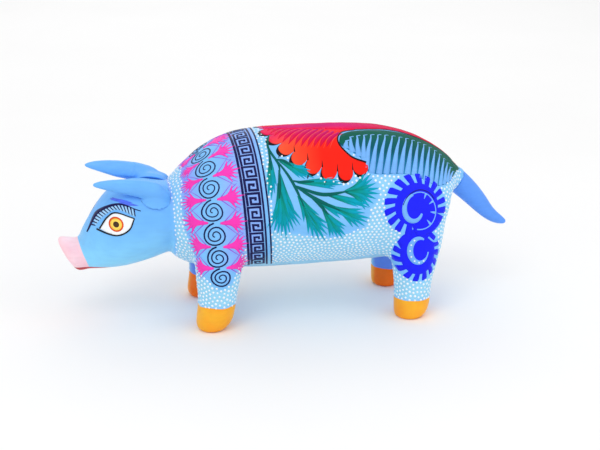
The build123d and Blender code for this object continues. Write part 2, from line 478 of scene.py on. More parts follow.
# Places on the body are (u, s): mm along it from the middle, and mm down from the ridge.
SPIRAL_COUNT = 7
SPIRAL_TURNS = 2.7
FAN_LOBES, FAN_ANGLE, FAN_ROOT = 7, math.radians(78), 1.4
FAN_RAYS, RAY_ANGLE = 9, math.radians(88)
FAN_GAP = 4.5
BAND_START, BAND_LENGTH = -32.0, 97.0
BAND_INNER, BAND_OUTER = 9.8, 12.3
KEY_CELLS, KEY_FIRST, KEY_LAST = 13, 1.0, 96.0
# One key's corners, as shares of its width and of its pitch.
KEY_PATH = (
    (0.0, 1.0), (0.0, 0.10), (1.0, 0.10), (1.0, 0.86),
    (0.30, 0.86), (0.30, 0.44), (0.68, 0.44), (0.68, 0.62),
)


def spiral_centre(k):
    """The spirals march down the shoulder, closer together toward the hoof."""
    return -50.8 + 1.5 * k, 9.0 + 16.6 * k - 0.5 * k * k


def spiral_radius(k):
    return 7.9 - 0.4 * k


def fan_ends(k, way):
    """Where the burst above spiral k starts and ends, ahead of the spirals (-1) or behind (1)."""
    u, s = spiral_centre(k - 0.5)
    if way > 0:
        far = (band_edge(0.0, s) - 0.5, s - 2.5 + 0.4 * k)
    else:
        far = (u - 14.5 - 4.0 * math.sin(math.pi * k / (SPIRAL_COUNT - 1)), s + 0.5)
    return np.array((u + way * FAN_GAP, s)), np.array(far)


def spiral(paints, side):
    for number in range(SPIRAL_COUNT):
        (u, s), radius = spiral_centre(number), spiral_radius(number)
        turns = np.linspace(0.10, 1.0, 46)
        angle = -0.55 * math.pi + SPIRAL_TURNS * 2 * math.pi * (turns - 1)
        ring = radius * turns**0.9 * (1 + 0.03 * np.sin(3 * angle + unsteady(3)))
        line = np.column_stack([u + ring * np.cos(angle), s + ring * np.sin(angle)])
        paints["navy"].stroke(line, lambda t: 0.52 + 0.30 * t, side)


def fans(paints, side):
    """Pink bursts between the spirals, with thin violet rays between their points."""
    for apex, far in (fan_ends(k, way) for way in (1, -1) for k in range(SPIRAL_COUNT)):
        reach = np.linalg.norm(far - apex)
        heading = math.atan2(far[1] - apex[1], far[0] - apex[0])
        root = apex - FAN_ROOT * (far - apex) / reach
        for k in range(FAN_LOBES):
            spread = k / (FAN_LOBES - 1) - 0.5
            turn = heading + FAN_ANGLE * spread
            length = reach * (1.06 - 0.42 * abs(spread) + 0.06 * (k % 2))
            end = apex + length * toward(turn)
            bend = (turn + 2 * heading) / 3
            middle = apex + 0.5 * length * toward(bend)
            paints["pink"].stroke(smooth_curve((root, middle, end), 1.1), leaf_width(2.0, 0.5), side)
        for k in range(FAN_RAYS):
            spread = k / (FAN_RAYS - 1) - 0.5
            turn = heading + RAY_ANGLE * spread
            way = toward(turn)
            outer = k in (0, FAN_RAYS - 1)
            near, long = (0.10, 1.0) if outer else (0.62, 1.12 - 0.25 * abs(spread))
            line = cornered((apex + way * near * reach, apex + way * long * reach), 1.3)
            paints["violet"].stroke(line, taper(0.55, 0.12), side, level=MOTIF_LEVEL)


def band_edge(offset, s):
    """How far along the body a band line lies at s. The lines lean back toward the belly."""
    return BAND_START + offset + 0.0245 * s + 0.00047 * s * s


def band_line(offset):
    steps = np.linspace(0.0, BAND_LENGTH, 12)
    return np.column_stack([band_edge(offset, steps), steps])


def band_point(cross, s):
    """A place across the key band: 0 on its left line and 1 on its inner right line."""
    return band_edge(cross * BAND_INNER, s), s


def key_band(paints, side):
    navy, surface = paints["navy"], paints.surface
    for offset, width in ((0.0, 1.25), (BAND_INNER, 0.95), (BAND_OUTER, 0.8)):
        navy.stroke(smooth_curve(band_line(offset), 1.5), width, side, surface.wrapped)
    pitch = (KEY_LAST - KEY_FIRST) / KEY_CELLS
    for cell in range(KEY_CELLS):
        top = KEY_FIRST + pitch * cell
        path = [
            band_point(0.17 + 0.66 * p + unsteady(0.015), top + pitch * (q + unsteady(0.02)))
            for p, q in KEY_PATH
        ]
        navy.stroke(cornered(path, 1.4), 1.15 + unsteady(0.1), side, surface.wrapped)


# --- Wing, back stripe and frond ---

PETALS = 8
WING_EDGE = ((-13, 2), (-6, 17), (8, 30), (24, 36), (37, 32))
WING_TOP = ((37, 32), (29, 28), (24, 19), (27, 11), (35, 8.4))
WING_ROOT = ((33, 4.5), (6, 1.6), (-14, 0.4))
STREAK_COUNT = 12
STREAK_ROOTS = ((-4, 1), (12, 5), (26, 11))
STREAK_TIPS = ((-12, 5), (-6, 17), (4, 21), (17, 22))
RIDGE_HALF = ((-15.5, 0.3), (0, 5), (24, 7.5), (35, 8), (57, 5), (90, 4.5), (106, 1.6))
# Each thin line along the stripe: its place as a share of the half width, and where it starts.
STRIPE_LINES = ((-0.62, 30), (-0.25, 40), (0.12, 34), (0.5, 46), (0.8, 60), (-0.86, 52))
FROND_TOP = ((24, 20), (28, 12), (43, 8), (75, 5), (106, 3))
FROND_MIDDLE = ((28, 20), (32, 15), (56, 12.5), (84, 15), (98, 31))
FROND_BOTTOM = ((26, 22), (35, 30), (39, 38), (62, 39.5), (80, 46), (94, 40))
FROND_END = ((98, 32), (102, 24), (106, 13))
FROND_GAPS = 20
# Short strokes at the frond's tail end: where each starts and ends.
FROND_TAIL = (((93, 8), (107, 9)), ((93, 11), (105, 15)), ((95, 16), (103, 22)))


def lobe(start, tip, end, points=9):
    """A rounded petal edge from one notch to the next."""
    start, tip, end = (np.array(p, float) for p in (start, tip, end))
    middle, half = (start + end) / 2, (end - start) / 2
    turns = np.linspace(0, math.pi, points)[:-1]
    return [
        middle - half * math.cos(t) * (1 + 0.12 * math.sin(t) ** 2) + (tip - middle) * math.sin(t) ** 0.8
        for t in turns
    ]


def petals():
    """Each petal's first notch, tip and second notch. Petals are longest under the wing's middle."""
    edge = smooth_curve(WING_EDGE, 0.8)
    notches = [pick(edge, k / PETALS) for k in range(PETALS + 1)]
    for k, (start, end) in enumerate(zip(notches, notches[1:])):
        run = (end - start) / np.linalg.norm(end - start)
        length = 3.6 + 3.2 * math.sin(math.pi * (k + 0.5) / (PETALS + 1))
        yield start, (start + end) / 2 + length * np.array((-run[1], run[0])), end


def wing_outline(shift=(0.0, 0.0), swell=0.0):
    edge = []
    for start, tip, end in petals():
        outward = np.array(tip) - (np.array(start) + np.array(end)) / 2
        outward /= np.linalg.norm(outward)
        moved = np.array(tip) + outward * swell + np.array(shift)
        edge.extend(resampled(np.array(lobe(start, moved, end, 14)), 0.9))
    edge.extend(smooth_curve(WING_TOP, 1.0))
    edge.extend(cornered((*WING_ROOT, WING_EDGE[0]), 1.4))
    return np.array(edge)


def wing(paints, side):
    def left_to_right(u, _):
        return float(np.clip((u + 8) / 22, 0, 1))

    def near_ridge(u, s):
        return float(np.clip(1 - (s - 0.4 * max(0, 14 - u)) / 13, 0, 1))

    ink = paints["ink"]
    ink.area(wing_outline((-1.3, 0.9), 0.6), side, level=GROUND_LEVEL)
    paints["red"].area(wing_outline(), side, level=MOTIF_LEVEL, along=left_to_right, across=near_ridge)
    shapes = list(petals())
    for _, tip, _ in shapes[:6]:
        spot = tip + (-1.3, 1.1)
        ink.stroke(cornered((spot + (0.5, -0.6), spot + (-0.5, 1.9)), 0.8), taper(1.3, 0.1), side)
    ink.stroke(smooth_curve(WING_TOP, 1.0), lambda t: 1.0 - 0.45 * t, side, level=TOP_LEVEL)
    for spot, _, _ in shapes[3:]:
        ink.stroke(cornered((spot + (-0.1, 0.8), spot + (0.2, -3.4)), 0.8), taper(0.8, 0.1), side)
    roots, tips = smooth_curve(STREAK_ROOTS, 0.8), smooth_curve(STREAK_TIPS, 0.8)
    for k in range(STREAK_COUNT):
        start, end = pick(roots, k / (STREAK_COUNT - 1)), pick(tips, k / (STREAK_COUNT - 1))
        bend = (start + end) / 2 + np.array((-0.9, -1.3))
        paints["magenta"].stroke(smooth_curve((start, bend, end), 1.2), leaf_width(2.9, 0.5), side)
        aside = np.array((1.6, 0.9))
        line = smooth_curve((start + aside, bend + aside, end + aside), 1.2)
        paints["salmon"].stroke(line, leaf_width(0.5, 0.3), side)


def stripe_half(u):
    """Half the back stripe's width, and 0 past its ends."""
    return np.interp(u, *np.transpose(RIDGE_HALF), left=0, right=0)


def back_stripe(paints):
    """The stripe down the ridge, one shape over both sides."""
    steps = np.arange(RIDGE_HALF[0][0], RIDGE_HALF[-1][0] + 0.1, 1.4)
    half = stripe_half(steps)
    ring = np.vstack([np.column_stack([steps, half]), np.column_stack([steps, -half])[::-1]])

    def along(u, _):
        return float(np.clip((u - 30) / 30, 0, 1))

    def across(u, s):
        return float(abs(s) / stripe_half(u))

    paints["ridge"].area(ring, RIGHT, level=LINE_LEVEL, along=along, across=across)
    for share, first in STRIPE_LINES:
        marks = np.arange(first, 102, 6.0)
        line = np.column_stack([marks, share * stripe_half(marks)])
        paints["magenta"].stroke(smooth_curve(line, 1.5), leaf_width(0.8, 0.5), RIGHT, level=TOP_LEVEL)
    for side in (LEFT, RIGHT):
        marks = np.arange(35, 106, 6.0)
        edge = np.column_stack([marks, stripe_half(marks)])
        paints["ink"].stroke(smooth_curve(edge, 1.5), lambda t: 0.6 + 0.3 * t, side, level=TOP_LEVEL)


def pick(line, t):
    """The place that is a share t of the way along an evenly stepped line."""
    spot = min(max(t, 0.0), 1.0) * (len(line) - 1)
    low = min(int(spot), len(line) - 2)
    return line[low] + (line[low + 1] - line[low]) * (spot - low)


def frond_outline():
    return np.vstack([smooth_curve(FROND_TOP, 0.9), FROND_END[::-1], smooth_curve(FROND_BOTTOM, 0.9)[::-1]])


def frond(paints, side):
    """Dark green that fades downward, combed into ribs by sky-blue strokes."""
    middle, bottom = smooth_curve(FROND_MIDDLE, 0.9), smooth_curve(FROND_BOTTOM, 0.9)

    def fade(u, s):
        above = np.linalg.norm(middle - (u, s), axis=1).min()
        below = np.linalg.norm(bottom - (u, s), axis=1).min()
        over = s < np.interp(u, middle[:, 0], middle[:, 1])
        return 0.0 if over else float(above / max(above + below, 0.01))

    paints["frond"].area(frond_outline(), side, level=GROUND_LEVEL, along=fade)
    for k in range(FROND_GAPS):
        t = (k + 0.5) / FROND_GAPS
        high, low = pick(middle, t), pick(bottom, t)
        neck = high + (low - high) * 0.12 + np.array((0.2, 0.0))
        hook = high + np.array((2.1, -0.6))
        waist = high + (low - high) * 0.5 + np.array((-0.3, 0.0))
        line = smooth_curve((hook, high, neck, waist, low), 1.1)
        below, above = (pick(bottom, t + shift / FROND_GAPS) for shift in (0.5, -0.5))
        widest = 0.80 * np.linalg.norm(below - above)

        def width(share, widest=widest):
            return 0.6 + (widest - 0.6) * min(1, max(0, (share - 0.12) / 0.8))

        paints["sky"].stroke(line, width, side, level=MOTIF_LEVEL)
    for ends in FROND_TAIL:
        line = cornered(ends, 1.2)
        paints["fern"].stroke(line, leaf_width(2.6, 0.5), side, level=MOTIF_LEVEL, value=0.0)


# --- Fern ---

# Each stem: its points and its width.
FERN_STEMS = (
    (((-12, 10), (-14, 20), (-10, 31), (-10, 37)), 1.3), (((-11, 28), (-4, 40), (2, 54)), 1.5),
    (((-10, 34), (-10.5, 42), (-11, 49)), 1.7), (((-2, 43), (12, 48), (26, 47)), 1.9),
    (((-2, 43), (8, 50), (21, 57)), 2.0), (((5, 48), (10, 53), (15, 59)), 1.7),
    (((-11, 28), (-7, 29), (-3, 32)), 1.6), (((-4, 40), (1, 41), (8, 41)), 1.3),
    (((-14, 21), (-14, 27), (-14, 34)), 1.3),
)
# Each spray of blades: its root, heading and spread in degrees, length, and how many blades.
FERN_SPRAYS = (
    ((24, 47), 2, 84, 20, 10), ((14, 48), 18, 12, 25, 4), ((18, 55), 28, 42, 22, 7),
    ((9, 51), 31, 18, 23, 3), ((12, 56), 57, 36, 22, 7), ((1, 52), 60, 38, 25, 7),
    ((-1, 48), 62, 34, 21, 3), ((-11, 41), 83, 46, 31, 11), ((-10, 36), 85, 28, 26, 4),
    ((-14, 27), 93, 20, 22, 5), ((-9, 29), 31, 30, 19, 7), ((-1, 41), 4, 18, 25, 6),
)
# Where each blade of a spray starts in the fern's colours, in turn.
BLADE_TINTS = (0.0, 0.5, 0.25)


def blade_width(widest):
    """A grass blade: full for most of its length, then quickly to a point."""
    return lambda t: max(widest * (0.5 + 0.5 * min(1, t / 0.4)) * (1 - t**4), 0.1)


def fern(paints, side):
    for points, width in FERN_STEMS:
        line = smooth_curve(points, 1.2)
        paints["fern"].stroke(line, leaf_width(width, 0.6, 0.5), side, level=TOP_LEVEL, value=0.05)
    for start, heading, spread, length, blades in FERN_SPRAYS:
        start = np.array(start, float)
        way = toward(math.radians(heading))
        for k in range(blades):
            share = k / (blades - 1) - 0.5
            turn = math.radians(heading + spread * share)
            long = length * (1 - 0.5 * abs(share) + unsteady(0.06))
            tip = start + long * toward(turn)
            reach = np.linalg.norm(tip - start)
            middle = start + way * reach * 0.20 + (tip - start) * 0.30
            line = smooth_curve((start, middle, tip), 1.2)
            level = (MOTIF_LEVEL, LINE_LEVEL)[k % 2]
            tint = BLADE_TINTS[k % len(BLADE_TINTS)]
            paints["fern"].stroke(line, blade_width(2.15), side, level=level, first=tint)


# --- Scroll ---

UPPER_GEAR, UPPER_RADII = (64.4, 56.6), (18.8, 17.6)
LOWER_GEAR, LOWER_RADII = (64.8, 84.6), (12.8, 14.8)
# Cuts in the scroll: centre, radii, and the angles they run between.
SCROLL_HOOK = ((62.0, 58.3), (5.6, 7.5), -95, -330)
SCROLL_RING = ((65.5, 60.0), (10.2, 10.5), -116, 100)
SCROLL_OPENING = ((65.0, 82.0), (5.0, 6.8), -60, -350)
SCROLL_TAIL = ((70, 75), (74, 78), (79, 77))
SCROLL_RIM = ((66.0, 59.0), (10.6, 10.8), -165, -25)
RING_NOTCHES, OPENING_DOTS = 4, 7
# One tooth: shares of its pitch, and the reach there as a share of the radius.
SLOT_END, TOOTH, SLOT_START = 0.17, ((0.18, 0.96), (0.24, 1.02), (0.72, 1.03), (0.80, 0.97)), 0.81


def toothed(centre, radii, teeth, depth, start, end, lean=0.0):
    """An edge of blunt teeth with slots between, from one angle to another in degrees."""
    edge = []
    pitch = math.radians(end - start) / teeth
    for k in range(teeth):
        base = math.radians(start) + pitch * k
        for share, reach in ((SLOT_END, 1 - depth), *TOOTH, (SLOT_START, 1 - depth)):
            angle = base + pitch * share + lean * (1 - reach)
            edge.append(np.array(centre) + np.array(radii) * reach * toward(angle))
    return edge


def arc(centre, radii, start, end, points=14):
    turn = np.radians(np.linspace(start, end, points))
    return np.array(centre) + np.column_stack([np.cos(turn), np.sin(turn)]) * radii


def scroll(paints, side):
    """Two toothed wheels that run into each other like an S, with sky-blue cuts."""
    blue, light = paints["ultramarine"], paints["sky"]
    upper = toothed(UPPER_GEAR, UPPER_RADII, 14, 0.29, 96, 388, 0.3)
    upper.extend(arc(UPPER_GEAR, UPPER_RADII, 390, 452, 8))
    lower = toothed(LOWER_GEAR, LOWER_RADII, 10, 0.25, -34, 204, -0.3)
    lower.extend(arc(LOWER_GEAR, LOWER_RADII, 208, 322, 8))
    blue.area(cornered([*upper, upper[0]], 1.2)[:-1], side, grid=1.5)
    blue.area(cornered([*lower, lower[0]], 1.2)[:-1], side, level=MOTIF_LEVEL - 0.02, grid=1.5)
    light.stroke(arc(*SCROLL_HOOK, 24), lambda t: 1.1 + 1.7 * math.sin(math.pi * t) ** 0.7, side)
    ring = arc(*SCROLL_RING, 36)
    light.stroke(ring, 0.6, side)
    for k in range(RING_NOTCHES):
        spot = pick(ring, 0.24 + 0.18 * k)
        inward = np.array(SCROLL_RING[0]) - spot
        inward /= np.linalg.norm(inward)
        light.stroke(cornered((spot, spot + inward * 3.4), 0.8), taper(1.6, 0.3), side)
    opening = arc(*SCROLL_OPENING, 34)
    light.stroke(opening, lambda t: 0.8 + 2.4 * math.sin(math.pi * min(1, 1.1 * t)) ** 0.8, side)
    for k in range(OPENING_DOTS):
        place, normal = paints.surface.flank(*pick(opening, 0.22 + 0.1 * k), side)
        paints["white"].dot(place + normal * 0.12, normal, 0.5)
    light.stroke(smooth_curve(SCROLL_TAIL, 1.0), 0.9, side)
    paints["deep_blue"].stroke(smooth_curve(arc(*SCROLL_RIM), 1.0), 0.6, side)


# --- Face ---

# Places on the face are (u, z): z is the height.
UPPER_LID = ((-103.5, 55.5), (-99.5, 61.5), (-94.5, 64.5), (-85.5, 62))
LOWER_LID = ((-85.5, 62), (-88.5, 56), (-95, 53), (-103.5, 55.5))
LID_CORNER = (-105, 55)
IRIS = (-95, 58.8)
IRIS_DISCS = (
    ("iris_red", 3.8, MOTIF_LEVEL), ("iris_yellow", 2.95, LINE_LEVEL), ("pupil", 1.5, TOP_LEVEL),
)
BROW = ((-110, 52), (-103.5, 63), (-93, 68.5), (-82, 65.5))
LASH_ROOTS = ((-105.5, 56.5), (-101, 62), (-94, 66), (-85, 63))
# The lashes reach this part of the brow, as shares of its length.
LASH_FROM, LASH_TO = 0.13, 0.90
LASHES = 16
# Painted shadow of the ear above the brow: where each blue stroke starts and ends.
EAR_SHADOW_STROKES = (((-97, 70), (-86, 69.5)), ((-96, 70.5), (-85, 68.5)), ((-93, 69), (-83, 68)))


def head_line(points, step=0.8):
    """A curve on the face, from places given as u and height."""
    return smooth_curve([(u, -z) for u, z in points], step)


def eye(paints, side):
    cheek = paints.surface.cheek
    upper = head_line(UPPER_LID)
    lower = head_line(LOWER_LID)
    paints["white"].area(np.vstack([upper[:-1], lower[:-1]]), side, cheek, level=GROUND_LEVEL, grid=1.2)
    centre = (IRIS[0], -IRIS[1])
    for name, radius, level in IRIS_DISCS:
        paints[name].disc(centre, radius, side, cheek, level)
    ink, navy = paints["ink"], paints["navy"]
    ink.stroke(upper, lambda t: 0.65 - 0.15 * t, side, cheek, level=TOP_LEVEL)
    start = head_line((LID_CORNER, *LOWER_LID[2::-1]))
    ink.stroke(start, lambda t: 0.85 - 0.2 * t, side, cheek, level=TOP_LEVEL)
    brow, roots = head_line(BROW, 1.0), head_line(LASH_ROOTS)
    bare = np.array([pick(brow, t) for t in np.linspace(LASH_TO, LASH_FROM, 30)])
    paints["lid"].area(np.vstack([roots, bare]), side, cheek, level=GROUND_LEVEL, grid=1.2)
    navy.stroke(brow, lambda t: 0.4 + 0.6 * math.sin(math.pi * min(1, t * 1.15)) ** 0.8, side, cheek)
    for k in range(LASHES):
        t = k / (LASHES - 1)
        root, tip = pick(roots, t), pick(brow, LASH_FROM + (LASH_TO - LASH_FROM) * t)
        line = cornered((root, root + (tip - root) * 0.95), 0.8)
        navy.stroke(line, taper(0.40, 0.72), side, cheek)
    # Painted shadow of the ear: soft blue strokes above the brow.
    for start, end in EAR_SHADOW_STROKES:
        line = head_line((start, ((start[0] + end[0]) / 2, (start[1] + end[1]) / 2 + 0.3), end))
        paints["ear_shadow"].stroke(line, leaf_width(1.3, 0.5), side, cheek, level=GROUND_LEVEL)


# --- Dots ---

DOT_RADIUS = 0.64
DOT_SPACING = 2.0
TAIL_CLEAR = 8.6
HOOF_FRONT, HOOF_REAR = 14.4, 11.4
FERN_PATCH = (
    (-13, 8), (-15, 20), (-15, 66), (0, 70), (20, 73), (35, 68), (38, 57), (43, 51),
    (43, 44), (38, 39), (26, 44), (13, 42), (5, 34), (-8, 27), (-11, 10),
)


def hoof_top(x):
    """The height where a hoof's orange ends."""
    return np.where(x < 0, HOOF_FRONT, HOOF_REAR)


def shoulder_field():
    """The undotted ground under the spirals, their bursts and the band's left line."""
    left = [fan_ends(k, -1)[1] for k in range(SPIRAL_COUNT)]
    radius = spiral_radius(SPIRAL_COUNT - 1) + 1.2
    foot = arc(spiral_centre(SPIRAL_COUNT - 1), (radius, radius), 150, 20, 8)
    start, end = [(left[0][0], -2.0)], [(-30.0, -2.0)]
    return np.vstack([start, left, foot, [(-30.5, 80.0)], band_line(1.5)[8::-1], end])


def dotted_ground(points, normals):
    """True where the block is covered in dots. Motifs keep a clear edge round them."""
    u, s = flank_places(points)
    spots = np.column_stack([u, s])
    x, y, z = points.T
    open_ground = np.ones(len(points), bool)
    band = np.vstack([band_line(0.0), band_line(BAND_OUTER)[::-1]])
    for outline, gap in (
        (shoulder_field(), 0.2),
        (band, 0.9),
        (np.array(FERN_PATCH, float), 0.3),
        (wing_outline(), 1.4),
        (frond_outline(), 0.9),
        (arc(UPPER_GEAR, UPPER_RADII, 0, 348, 30), 1.1),
        (arc(LOWER_GEAR, LOWER_RADII, 0, 348, 30), 1.0),
    ):
        blocked = inside(spots, outline) | (edge_distance(spots, outline) < gap)
        open_ground &= ~blocked
    open_ground &= crease_side(points) > 0.9
    open_ground &= z > hoof_top(x) + 1.0
    inner = (normals[:, 1] * np.sign(y) < -0.05) & (z < 36)
    under = (normals[:, 2] < -0.80) & (z < 40)
    open_ground &= ~(inner | under) & ((s > stripe_half(x) + 1.2) | (x < RIDGE_HALF[0][0]))
    seat, _ = peg_line("tail_turn")
    open_ground &= np.linalg.norm(points - np.array(seat), axis=1) > TAIL_CLEAR
    return open_ground


def tree_of(spots):
    tree = KDTree(len(spots))
    for k, spot in enumerate(spots):
        tree.insert(spot, k)
    tree.balance()
    return tree


def place_dots(surface, allowed):
    """Dots scattered with even gaps, then nudged apart until they lie in rows."""
    spots = [Vector(p) for p in surface.points[allowed]]
    random.shuffle(spots)
    cells, kept = {}, []
    gap = DOT_SPACING * 0.86
    for spot in spots:
        key = tuple(int(c // gap) for c in spot)
        near = (
            cells.get((key[0] + i, key[1] + j, key[2] + k), ())
            for i in (-1, 0, 1) for j in (-1, 0, 1) for k in (-1, 0, 1)
        )
        if all((spot - other).length > gap for group in near for other in group):
            cells.setdefault(key, []).append(spot)
            kept.append(spot)
    ground = tree_of(spots)
    for _ in range(14):
        tree = tree_of(kept)
        moved = []
        for k, spot in enumerate(kept):
            push = Vector((0, 0, 0))
            for other, n, away in tree.find_range(spot, DOT_SPACING * 1.25):
                if n != k:
                    push += (spot - other) / max(away, 0.1) * (DOT_SPACING * 1.25 - away)
            goal = spot + push * 0.22
            nearest, _, away = ground.find(goal)
            moved.append(goal if away < 0.75 else spot + (nearest - spot) * 0.7)
        kept = moved
    return [surface.tree.find_nearest(spot)[:2] for spot in kept]


# --- Materials ---


def linear(colour):
    """A display colour in scene-linear values, with full alpha."""
    out = [c / 12.92 if c <= 0.04045 else ((c + 0.055) / 1.055) ** 2.4 for c in colour]
    return (*out, 1.0)


class Nodes:
    """Short calls for building a material's node tree."""

    def __init__(self, name):
        self.material = bpy.data.materials.new(name)
        self.material.use_nodes = True
        self.tree = self.material.node_tree
        self.tree.nodes.clear()
        self.coords = self.add("ShaderNodeTexCoord").outputs["Object"]

    def add(self, kind, **values):
        node = self.tree.nodes.new(kind)
        for key, value in values.items():
            setattr(node, key, value)
        return node

    def put(self, socket, value):
        if isinstance(value, bpy.types.NodeSocket):
            self.tree.links.new(value, socket)
        else:
            socket.default_value = value

    def attribute(self, name):
        node = self.add("ShaderNodeAttribute", attribute_name=name)
        return node.outputs["Fac"]

    def math(self, operation, a, b=0.0, clamp=False):
        node = self.add("ShaderNodeMath", operation=operation, use_clamp=clamp)
        self.put(node.inputs[0], a)
        self.put(node.inputs[1], b)
        return node.outputs[0]

    def span(self, value, low, high, to_low=0.0, to_high=1.0):
        node = self.add("ShaderNodeMapRange", clamp=True)
        self.put(node.inputs["Value"], value)
        for key, number in zip(("From Min", "From Max", "To Min", "To Max"), (low, high, to_low, to_high)):
            self.put(node.inputs[key], number)
        return node.outputs[0]

    def mix(self, factor, a, b, kind="MIX"):
        node = self.add("ShaderNodeMix", data_type="RGBA", blend_type=kind)
        self.put(node.inputs["Factor"], factor)
        for socket, value in ((node.inputs[6], a), (node.inputs[7], b)):
            self.put(socket, linear(value) if isinstance(value, tuple) else value)
        return node.outputs[2]

    def noise(self, scale, detail=3.0, stretch=(1, 1, 1), rough=0.55):
        """Noise over the piece: scale is how many blobs there are in a metre."""
        mapping = self.add("ShaderNodeMapping")
        self.put(mapping.inputs["Vector"], self.coords)
        mapping.inputs["Scale"].default_value = [scale * s for s in stretch]
        node = self.add("ShaderNodeTexNoise")
        self.put(node.inputs["Vector"], mapping.outputs[0])
        node.inputs["Scale"].default_value = 1.0
        node.inputs["Detail"].default_value = detail
        node.inputs["Roughness"].default_value = rough
        return node.outputs["Fac"]

    def finish(self, colour, roughness, height=None, bump=0.15, distance=0.0002, sheen=0.2):
        shader = self.add("ShaderNodeBsdfPrincipled")
        self.put(shader.inputs["Base Color"], colour)
        self.put(shader.inputs["Roughness"], roughness)
        shader.inputs["Specular IOR Level"].default_value = sheen
        if height is not None:
            node = self.add("ShaderNodeBump")
            node.inputs["Strength"].default_value = bump
            node.inputs["Distance"].default_value = distance
            self.put(node.inputs["Height"], height)
            self.put(shader.inputs["Normal"], node.outputs[0])
        output = self.add("ShaderNodeOutputMaterial")
        self.put(output.inputs["Surface"], shader.outputs[0])
        return self.material


def brushed(nodes, colour, strokes=(60, 600, 600), strength=0.10):
    """A paint colour with soft blotches and brush marks along the figure."""
    blotch = nodes.noise(45)
    streak = nodes.noise(1.0, detail=4.0, stretch=strokes)
    value = nodes.math("ADD", nodes.math("MULTIPLY", blotch, 0.5), nodes.math("MULTIPLY", streak, 0.5))
    amount = nodes.span(value, 0.30, 0.70, 1 - strength, 1 + strength)
    tint = nodes.add("ShaderNodeVectorMath", operation="SCALE")
    nodes.put(tint.inputs[0], linear(colour)[:3] if isinstance(colour, tuple) else colour)
    nodes.put(tint.inputs["Scale"], amount)
    return tint.outputs[0]


def paint_finish(nodes, colour, gloss=0.36, strokes=(60, 600, 600), sheen=0.2):
    """Semi-gloss acrylic: brush marks in the sheen and in the relief."""
    streak = nodes.noise(1.0, detail=5.0, stretch=strokes)
    speck = nodes.noise(900, detail=2.0)
    rough = nodes.span(streak, 0.3, 0.7, gloss - 0.06, gloss + 0.10)
    height = nodes.math("ADD", streak, nodes.math("MULTIPLY", speck, 0.25))
    return nodes.finish(colour, rough, height, bump=0.25, distance=0.00015, sheen=sheen)


def plain_paint(name, colour, strength=0.10, gloss=0.36, strokes=(60, 600, 600)):
    nodes = Nodes(name)
    return paint_finish(nodes, brushed(nodes, colour, strokes, strength), gloss, strokes)


def gradient_paint(name, base, tip, strength=0.08, middle=None):
    """A stroke's colour, from where the brush was set down to where it lifted."""
    nodes = Nodes(name)
    along = nodes.attribute("along")
    if middle is None:
        colour = nodes.mix(nodes.span(along, 0.1, 0.95), base, tip)
    else:
        colour = nodes.mix(nodes.span(along, 0.0, 0.5), base, middle)
        colour = nodes.mix(nodes.span(along, 0.5, 1.0), colour, tip)
    return paint_finish(nodes, brushed(nodes, colour, (200, 200, 200), strength), gloss=0.5, sheen=0.1)


def wing_paint():
    nodes = Nodes("wing_paint")
    colour = nodes.mix(nodes.attribute("along"), WING_HEAD_END, WING_TAIL_END)
    rose = nodes.span(nodes.attribute("across"), 0.10, 0.9, 0.0, 1.0)
    colour = nodes.mix(rose, colour, WING_RIDGE)
    return paint_finish(nodes, brushed(nodes, colour, (250, 250, 250), 0.10), gloss=0.5, sheen=0.15)


def ridge_paint():
    nodes = Nodes("ridge_paint")
    across = nodes.attribute("across")
    front = nodes.mix(nodes.span(across, 0.35, 1.0), *STRIPE_FRONT)
    rear = nodes.mix(nodes.span(across, 0.2, 0.9), *STRIPE_REAR)
    colour = nodes.mix(nodes.attribute("along"), front, rear)
    return paint_finish(nodes, brushed(nodes, colour, (40, 500, 500), 0.16), gloss=0.6, sheen=0.08)


def block_paint():
    """The block's ground colours, with painted shade on the inner faces of the legs and hooves. Each *_mm
    attribute is a distance from a colour's edge.
    """
    nodes = Nodes("block_paint")
    colour = nodes.mix(nodes.attribute("dotted"), SKY, AQUA)
    colour = nodes.mix(nodes.attribute("head"), colour, HEAD_BLUE)
    colour = nodes.mix(nodes.attribute("light"), colour, HEAD_LIGHT)
    colour = nodes.mix(nodes.attribute("lilac"), colour, LILAC)
    # Painted shade: the legs' inner faces turn a darker blue low down. Their lack of dots is real paint.
    colour = nodes.mix(nodes.attribute("inner_face_shade"), colour, INNER_FACE_SHADE_BLUE)
    for name, inner, outer in (
        ("snout_mm", SNOUT_PINK, SNOUT_PALE),
        ("mouth_mm", MOUTH_RED, MOUTH_DARK),
        ("hoof_mm", HOOF_ORANGE, HOOF_SHADE),
    ):
        edge = nodes.span(nodes.attribute(name), -0.08, 0.08)
        patch = nodes.mix(nodes.span(nodes.noise(60), 0.35, 0.75), inner, outer)
        # Painted shade: the hooves' inner faces turn a deeper orange.
        if name == "hoof_mm":
            patch = nodes.mix(nodes.attribute("inner"), patch, HOOF_PAINTED_SHADE)
        colour = nodes.mix(edge, colour, patch)
    return paint_finish(nodes, brushed(nodes, colour, (70, 500, 500), 0.07), 0.36)


def bare_wood():
    nodes = Nodes("turned_wood")
    grain = nodes.noise(1.0, detail=6.0, stretch=(900, 900, 90))
    colour = nodes.mix(nodes.span(grain, 0.35, 0.65), BARE_WOOD, WOOD_GRAIN)
    return nodes.finish(colour, nodes.span(grain, 0.3, 0.7, 0.5, 0.7), grain, 0.3, 0.0001)


# --- The carved block ---

BLOCK_VOXEL, LIMB_VOXEL = 1.0, 0.45
# How far along the body the legs stand.
FRONT_LEGS, REAR_LEGS = -43, 64


def crease_side(p):
    """How far points lie behind the groove between the head and the shoulders."""
    return p[:, 0] + 0.06 * (p[:, 2] - 57) + 65.0


